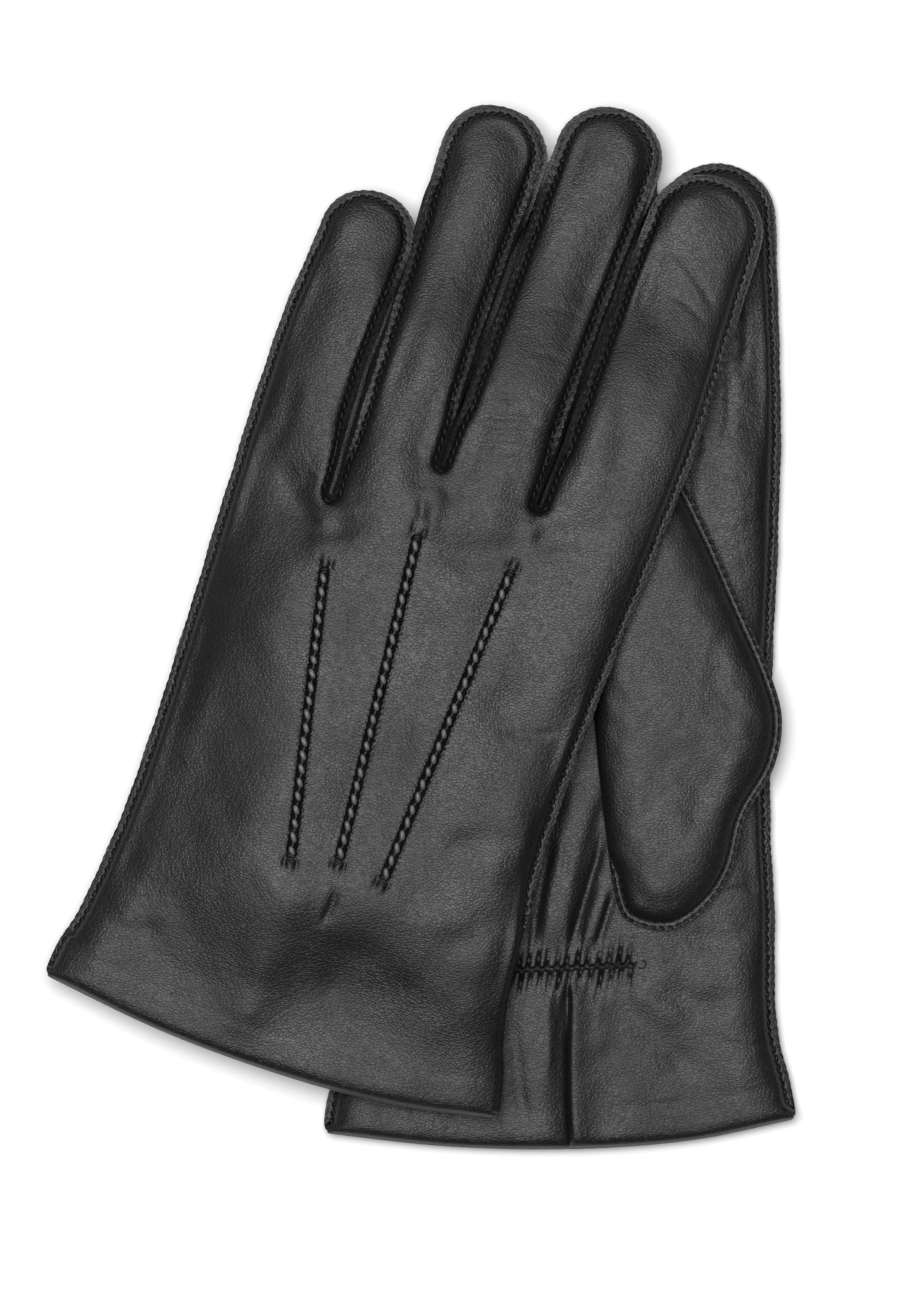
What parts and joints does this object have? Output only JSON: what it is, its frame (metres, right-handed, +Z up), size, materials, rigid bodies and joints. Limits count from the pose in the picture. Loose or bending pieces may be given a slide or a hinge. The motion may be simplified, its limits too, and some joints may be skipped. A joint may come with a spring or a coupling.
{
  "type": "leather gloves",
  "caption": "Pair of lined leather dress gloves lying flat, one across the other, with stitched points, outseams, folded thumbs and gathered wrists.",
  "frame": {"origin": "centre of the pair's footprint, on the surface that it lies on", "axes": "+Y runs from the cuffs towards the fingertips, +X towards the thumb side of both gloves as they lie, and +Z up out of the table"},
  "size_m": [0.1846, 0.2604, 0.0286],
  "materials": {
    "nappa": "satin",
    "thread": "waxed",
    "lining": "knitted",
    "elastic": "woven"
  },
  "bodies": {
    "right_hand": {"right_back_panel": "nappa", "right_fourchette_index_outer_side": "nappa", "right_fourchette_little_thumb_side": "nappa", "right_fourchette_middle_outer_side": "nappa", "right_fourchette_middle_thumb_side": "nappa", "right_fourchette_ring_outer_side": "nappa", "right_fourchette_ring_thumb_side": "nappa", "right_lining": "lining", "right_palm_panel": "nappa", "right_point_stitching_index": "thread", "right_point_stitching_middle": "thread", "right_point_stitching_ring": "thread", "right_seam_thread_index": "thread", "right_seam_thread_little": "thread", "right_seam_thread_middle": "thread", "right_seam_thread_ring": "thread", "right_wrist_elastic": "elastic", "right_wrist_stitching": "thread"},
    "right_thumb": {"right_thumb": "nappa", "right_thumb_lining": "lining", "right_thumb_seam_thread": "thread"},
    "left_hand": {"left_back_panel": "nappa", "left_fourchette_index_outer_side": "nappa", "left_fourchette_little_thumb_side": "nappa", "left_fourchette_middle_outer_side": "nappa", "left_fourchette_middle_thumb_side": "nappa", "left_fourchette_ring_outer_side": "nappa", "left_fourchette_ring_thumb_side": "nappa", "left_lining": "lining", "left_palm_panel": "nappa", "left_point_stitching_index": "thread", "left_point_stitching_middle": "thread", "left_point_stitching_ring": "thread", "left_seam_thread_index": "thread", "left_seam_thread_little": "thread", "left_seam_thread_middle": "thread", "left_seam_thread_ring": "thread", "left_wrist_elastic": "elastic", "left_wrist_stitching": "thread"},
    "left_thumb": {"left_thumb": "nappa", "left_thumb_lining": "lining", "left_thumb_seam_thread": "thread"}
  },
  "joints": [
    {"name": "right_thumb_swing", "type": "hinge", "parent": "right_hand", "child": "right_thumb", "pos_m": [0.0632, -0.0523, 0.0143], "axis": [0, 0, 1], "range_deg": [-50, 0]},
    {"name": "left_glove_lift", "type": "slide", "parent": "right_hand", "child": "left_hand", "axis": [0, 0, 1], "range_m": [0, 0.15]},
    {"name": "left_thumb_swing", "type": "hinge", "parent": "left_hand", "child": "left_thumb", "pos_m": [0.0088, -0.0438, 0.0143], "axis": [0, 0, 1], "range_deg": [-13, 0]}
  ]
}
